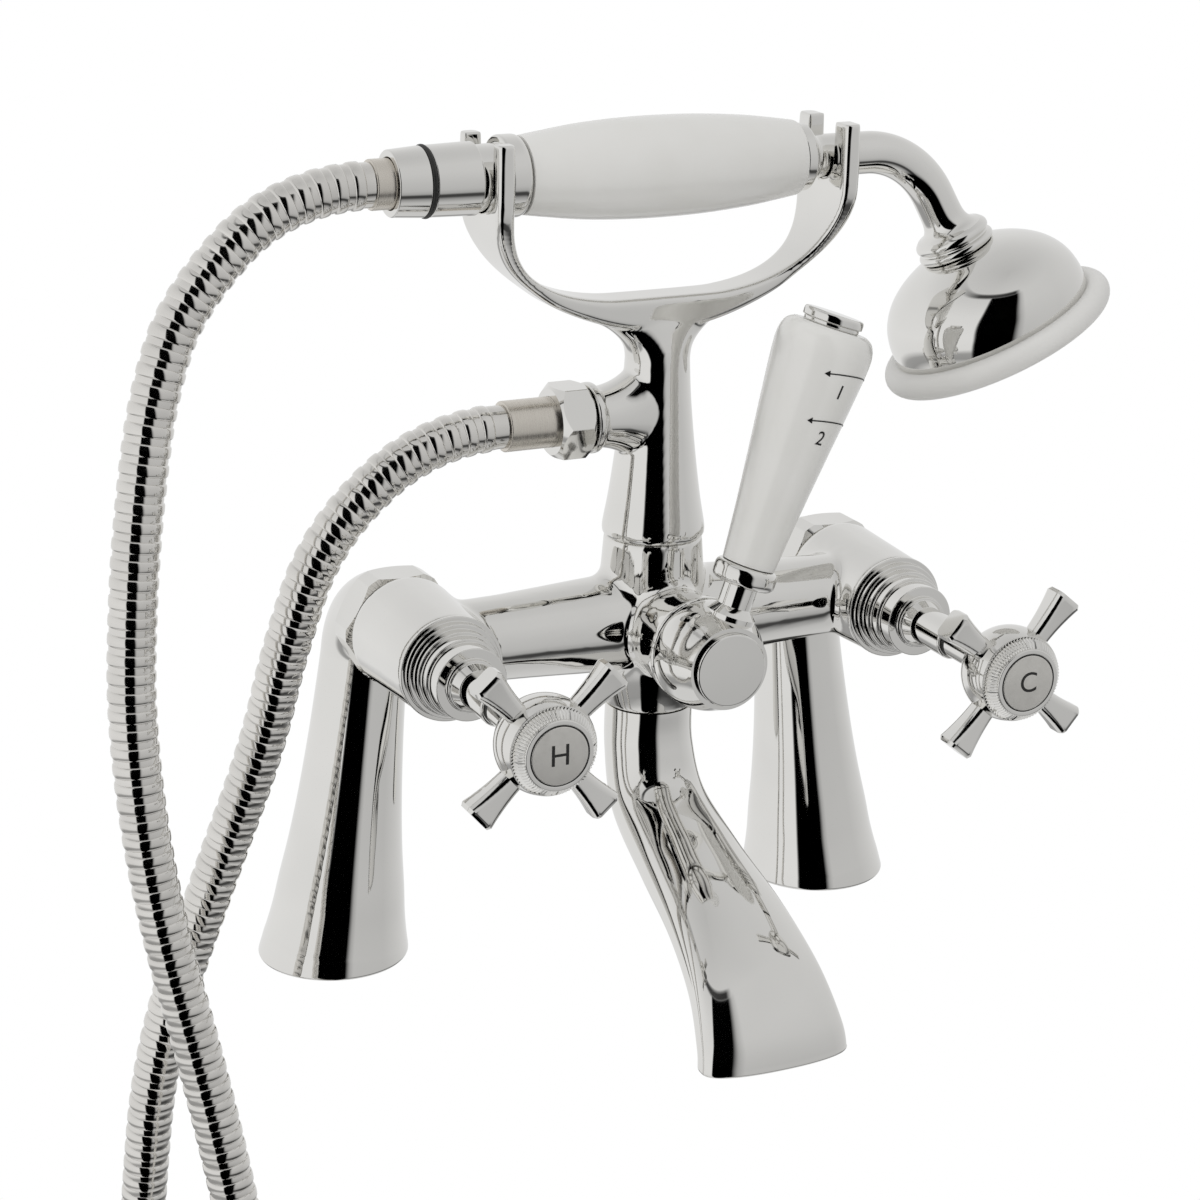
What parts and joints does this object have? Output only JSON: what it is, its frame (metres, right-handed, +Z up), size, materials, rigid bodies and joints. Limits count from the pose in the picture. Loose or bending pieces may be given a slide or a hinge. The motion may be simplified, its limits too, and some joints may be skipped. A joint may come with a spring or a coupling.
{
  "type": "bath shower mixer",
  "caption": "Deck-mounted bath shower mixer on pillar legs, with cross handles, a bath spout, a diverter lever and a hand shower resting in a cradle.",
  "frame": {"origin": "on the deck, midway between the centres of the two legs' feet", "axes": "+X from the hot leg to the cold leg, -Y forward over the bath, +Z up"},
  "size_m": [0.3354, 0.1706, 0.5867],
  "materials": {
    "polished_chrome": "polished plating",
    "hose_metal": "polished wound steel",
    "brushed_nickel": "brushed",
    "screw_steel": "plain",
    "brass": "machined",
    "valve_ceramic": "lapped",
    "glazed_ceramic": "glossy off-white glaze",
    "index_enamel": "glossy",
    "white_plastic": "smooth",
    "black_rubber": "matt",
    "fibre": "matt"
  },
  "bodies": {
    "mixer": {"hot_leg": "polished_chrome", "hot_bonnet": "polished_chrome", "hot_headwork": "brass", "cold_leg": "polished_chrome", "cold_bonnet": "polished_chrome", "cold_headwork": "brass", "fixed_discs": "valve_ceramic", "union_nuts": "polished_chrome", "spindle_sleeves": "polished_chrome", "mixer_body": "polished_chrome", "spout": "polished_chrome", "riser_cradle": "polished_chrome", "hose_outlet_nut": "polished_chrome", "union_washers": "fibre", "deck_washers": "black_rubber", "seat_seals": "black_rubber", "gland_rings": "black_rubber", "spout_seal": "black_rubber", "diverter_seal": "black_rubber", "riser_seal": "black_rubber", "hose_outlet_washer": "black_rubber", "flow_straightener": "white_plastic", "diverter_fixed_disc": "valve_ceramic", "diverter_cartridge": "brass", "hose_outlet_ferrule": "brushed_nickel", "hose": "hose_metal"},
    "hot_handle": {"hot_spindle": "brass", "hot_moving_disc": "valve_ceramic", "hot_cross_handle": "polished_chrome", "hot_knurled_ring": "polished_chrome", "hot_index_plate": "index_enamel", "hot_handle_screw": "screw_steel"},
    "cold_handle": {"cold_spindle": "brass", "cold_moving_disc": "valve_ceramic", "cold_cross_handle": "polished_chrome", "cold_knurled_ring": "polished_chrome", "cold_index_plate": "index_enamel", "cold_handle_screw": "screw_steel"},
    "diverter_lever": {"diverter_spindle": "brass", "diverter_moving_disc": "valve_ceramic", "diverter_hub": "polished_chrome", "diverter_screw": "screw_steel", "hub_cap": "polished_chrome", "lever_collar": "polished_chrome", "lever_grip": "glazed_ceramic", "lever_stud": "brass", "lever_washer": "polished_chrome", "lever_cap": "polished_chrome"},
    "hand_shower": {"hose_tail_nut": "polished_chrome", "hose_tail_ferrule": "brushed_nickel", "tail_ring": "black_rubber", "handset_tail": "polished_chrome", "handset_grip": "glazed_ceramic", "handset_stem": "brass", "grip_end_ring": "polished_chrome", "handset_neck": "polished_chrome", "rose_bead_rings": "polished_chrome", "rose_bell": "polished_chrome", "rose_rim": "white_plastic", "rose_plate": "white_plastic"}
  },
  "joints": [
    {"name": "hot_valve_turn", "type": "hinge", "parent": "mixer", "child": "hot_handle", "pos_m": [-0.077, -0.047, 0.119], "axis": [0, -1, 0], "range_deg": [0, 90]},
    {"name": "cold_valve_turn", "type": "hinge", "parent": "mixer", "child": "cold_handle", "pos_m": [0.077, -0.047, 0.119], "axis": [0, 1, 0], "range_deg": [0, 90]},
    {"name": "diverter_turn", "type": "hinge", "parent": "mixer", "child": "diverter_lever", "pos_m": [0, -0.047, 0.119], "axis": [0, -1, 0], "range_deg": [-25.7, 64.3]},
    {"name": "hand_shower_lift", "type": "slide", "parent": "mixer", "child": "hand_shower", "axis": [0, 0, 1], "range_m": [0, 0.045], "deforming": ["hose"]}
  ]
}
